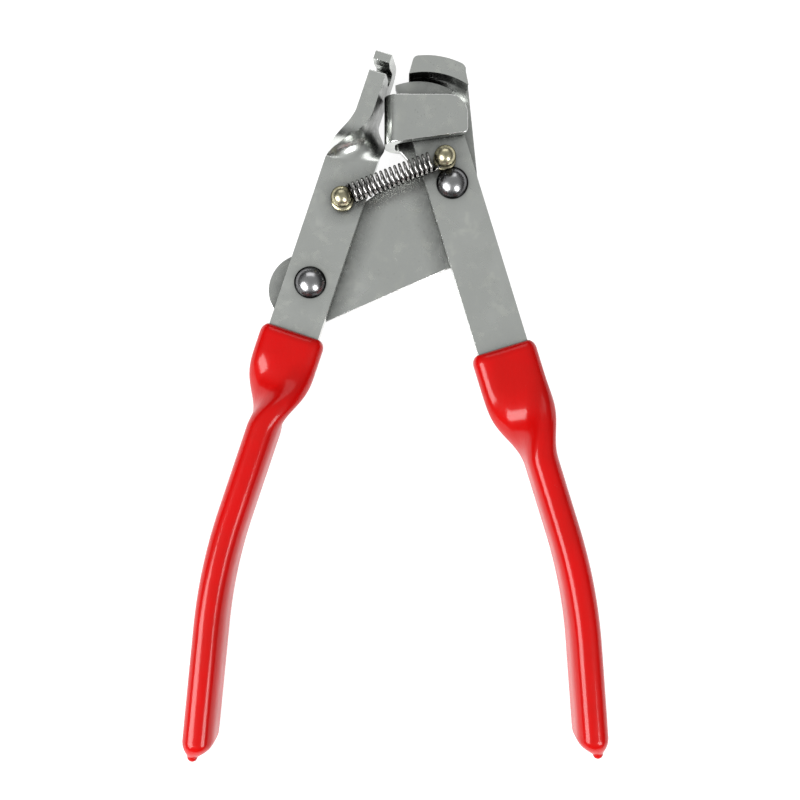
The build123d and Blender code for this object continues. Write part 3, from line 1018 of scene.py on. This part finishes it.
class PULLER_OT_spring(bpy.types.Operator):
    """Build the return spring, from loop to loop"""

    bl_idname = "puller.spring"
    bl_label = "Spring"

    def path(self, spring, span):
        """The wire's middle line: X along the spring from the left post, Z out of the front."""
        coil = spring.outer - spring.wire / 2
        run = span - sum(spring.start)
        per_turn = 24
        hook = [Vector(point) for point in arc((0, 0), spring.loop, 390, 60, 30)]
        steps = spring.turns * per_turn + per_turn // 2
        coils = []
        for step in range(steps + 1):
            a = step / per_turn * 2 * pi
            x = spring.start[0] + run * step / steps
            coils.append(Vector((x, coil * cos(a), -coil * sin(a))))
        far_hook = [Vector((span - p.x, -p.y, p.z)) for p in reversed(hook)]
        lead_in = self.joining(hook, coils)
        lead_out = self.joining(coils, far_hook)
        return hook + lead_in + coils + lead_out + far_hook

    def joining(self, before, after, count=6):
        """Points of a smooth curve from the end of one line to the start of another."""
        start = before[-1]
        end = after[0]
        reach = 0.4 * (end - start).length
        first = start + (start - before[-2]).normalized() * reach
        second = end - (after[1] - end).normalized() * reach
        made = []
        for step in range(1, count):
            t = step / count
            middle = first.lerp(second, t)
            leaving = start.lerp(first, t).lerp(middle, t)
            made.append(leaving.lerp(middle.lerp(second.lerp(end, t), t), t))
        return made

    def wire(self, name, points, thick):
        """A round wire along the points, as a mesh."""
        curve = bpy.data.curves.new(name, "CURVE")
        curve.dimensions = "3D"
        curve.bevel_depth = thick / 2
        curve.bevel_resolution = 3
        curve.use_fill_caps = True
        spline = curve.splines.new("POLY")
        spline.points.add(len(points) - 1)
        for knot, point in zip(spline.points, points):
            knot.co = (*point, 1)
        holder = placed(name + "_line", curve)
        bpy.context.view_layer.update()
        shown = holder.evaluated_get(bpy.context.evaluated_depsgraph_get())
        bm = bmesh.new()
        bm.from_mesh(bpy.data.meshes.new_from_object(shown))
        bpy.data.objects.remove(holder)
        bmesh.ops.remove_doubles(bm, verts=bm.verts, dist=1e-7)
        bmesh.ops.recalc_face_normals(bm, faces=bm.faces)
        return bm

    def execute(self, context):
        spring = context.scene.puller_spring
        fastening = context.scene.puller_fastening
        finish = context.scene.puller_finish
        ends = [post_centre(side) for side in SIDES]
        for side, end in zip(SIDES, ends):
            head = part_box(side + "_spring_post")[1].z - fastening.post_dome[1]
            end.z = head - spring.below_head
        # Painted shade on the spring: the wire is darkest a little below the coils' axis and
        # brightens towards the top of the coils.
        inside = (ends[0].z - spring.outer / 3, ends[0].z + spring.outer * 0.9)
        steel = polished_finish("spring_wire", finish.wire, 0.2, 0.2, inside)
        pull = ends[1] - ends[0]
        lean = Matrix.Rotation(atan2(pull.y, pull.x), 4, "Z")
        place = Matrix.Translation(ends[0]) @ lean
        points = [place @ point for point in self.path(spring, pull.length)]
        meeting = ends[0].lerp(ends[1], 0.8)
        split = max(n for n, point in enumerate(points) if (point - meeting).dot(pull) < 0)
        parts = (
            ("spring_left_part", points[: split + 1], "left_lever", "body", ends[0], meeting),
            ("spring_right_part", points[split:], "body", "right_lever", meeting, ends[1]),
        )
        for name, line, first, second, start, end in parts:
            piece = add_piece(
                name, self.wire(name, line, spring.wire), steel, ["return_spring"]
            )
            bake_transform(piece)
        return {"FINISHED"}


class PULLER_OT_stage(bpy.types.Operator):
    """Build the floor, the lights and the camera"""

    bl_idname = "puller.stage"
    bl_label = "Stage"

    def softbox(self, name, azimuth, elevation, distance, size, power):
        """A soft light aimed at the middle of the tool. Its place is in degrees and metres."""
        azimuth = radians(azimuth)
        elevation = radians(elevation)
        light = bpy.data.lights.new(name, "AREA")
        light.shape = "RECTANGLE"
        light.size, light.size_y = size
        light.energy = power
        holder = placed(name, light)
        way = Vector((
            sin(azimuth) * cos(elevation), cos(azimuth) * cos(elevation), sin(elevation),
        ))
        holder.location = way * distance
        holder.rotation_euler = (-way).to_track_quat("-Z", "Y").to_euler()

    def room(self, context):
        """A grey room, darker towards its floor, that the bright metal mirrors."""
        stage = context.scene.puller_stage
        world = bpy.data.worlds.new("studio")
        world.use_nodes = True
        tree = world.node_tree
        way = tree.nodes.new("ShaderNodeTexCoord").outputs["Generated"]
        height = add_node(tree, "ShaderNodeSeparateXYZ", Vector=way).outputs["Z"]
        bright = ranged(tree, height, 0.2, 0.8, stage.room_low, stage.room_high, smooth=True)
        tree.links.new(bright, tree.nodes["Background"].inputs["Strength"])
        tree.nodes["Background"].inputs["Color"].default_value = (0.985, 1.0, 0.985, 1)
        context.scene.world = world

    def execute(self, context):
        stage = context.scene.puller_stage
        bm = bmesh.new()
        bmesh.ops.create_grid(bm, x_segments=2, y_segments=2, size=3.0)
        floor = meshed("floor", bm)
        floor.location.z = -0.05 * MM
        paper = bpy.data.materials.new("paper")
        paper.use_nodes = True
        shader = paper.node_tree.nodes["Principled BSDF"]
        shader.inputs["Base Color"].default_value = (*stage.floor, 1)
        shader.inputs["Roughness"].default_value = 0.9
        shader.inputs["Emission Color"].default_value = (1, 1, 1, 1)
        shader.inputs["Emission Strength"].default_value = stage.glow
        floor.data.materials.append(paper)
        self.softbox("front_left_softbox", -122, 42, 0.9, (0.6, 0.45), 2 * stage.light)
        self.softbox("front_right_softbox", 136, 40, 0.9, (0.3, 0.4), 0.9 * stage.light)
        self.softbox("back_softbox", 0, 35, 1.0, (0.8, 0.4), 0.3 * stage.light)
        self.room(context)
        context.scene.view_settings.view_transform = "Standard"
        data = bpy.data.cameras.new("camera")
        data.lens = stage.lens
        data.clip_start = 0.01
        camera = placed("camera", data)
        camera.location = (*stage.aim, stage.height)
        context.scene.camera = camera
        return {"FINISHED"}


class PULLER_PT_panel(bpy.types.Panel):
    """Panel that lists the pieces of the cable puller"""

    bl_label = "Cable puller"
    bl_space_type = "VIEW_3D"
    bl_region_type = "UI"
    bl_category = "Cable puller"

    def draw(self, context):
        for operator in OPERATORS:
            self.layout.operator(operator.bl_idname)


SETTINGS = {
    "puller_bar": BarSettings,
    "puller_nose": NoseSettings,
    "puller_cam": CamSettings,
    "puller_grip": GripSettings,
    "puller_plate": PlateSettings,
    "puller_fastening": FasteningSettings,
    "puller_spring": SpringSettings,
    "puller_finish": FinishSettings,
    "puller_stage": StageSettings,
}
OPERATORS = (
    PULLER_OT_levers, PULLER_OT_grips, PULLER_OT_plate, PULLER_OT_fastenings, PULLER_OT_spring,
    PULLER_OT_stage,
)


def register():
    """Add the settings, the operators and the panel."""
    for name, group in SETTINGS.items():
        bpy.utils.register_class(group)
        setattr(bpy.types.Scene, name, PointerProperty(type=group))
    for item in (*OPERATORS, PULLER_PT_panel):
        bpy.utils.register_class(item)


def unregister():
    """Take them away again."""
    for item in (PULLER_PT_panel, *reversed(OPERATORS)):
        bpy.utils.unregister_class(item)
    for name, group in SETTINGS.items():
        delattr(bpy.types.Scene, name)
        bpy.utils.unregister_class(group)


def main():
    """Build every piece and the stage."""
    register()
    for name in ("levers", "grips", "plate", "fastenings", "spring", "stage"):
        getattr(bpy.ops.puller, name)()


if __name__ == "__main__":
    main()
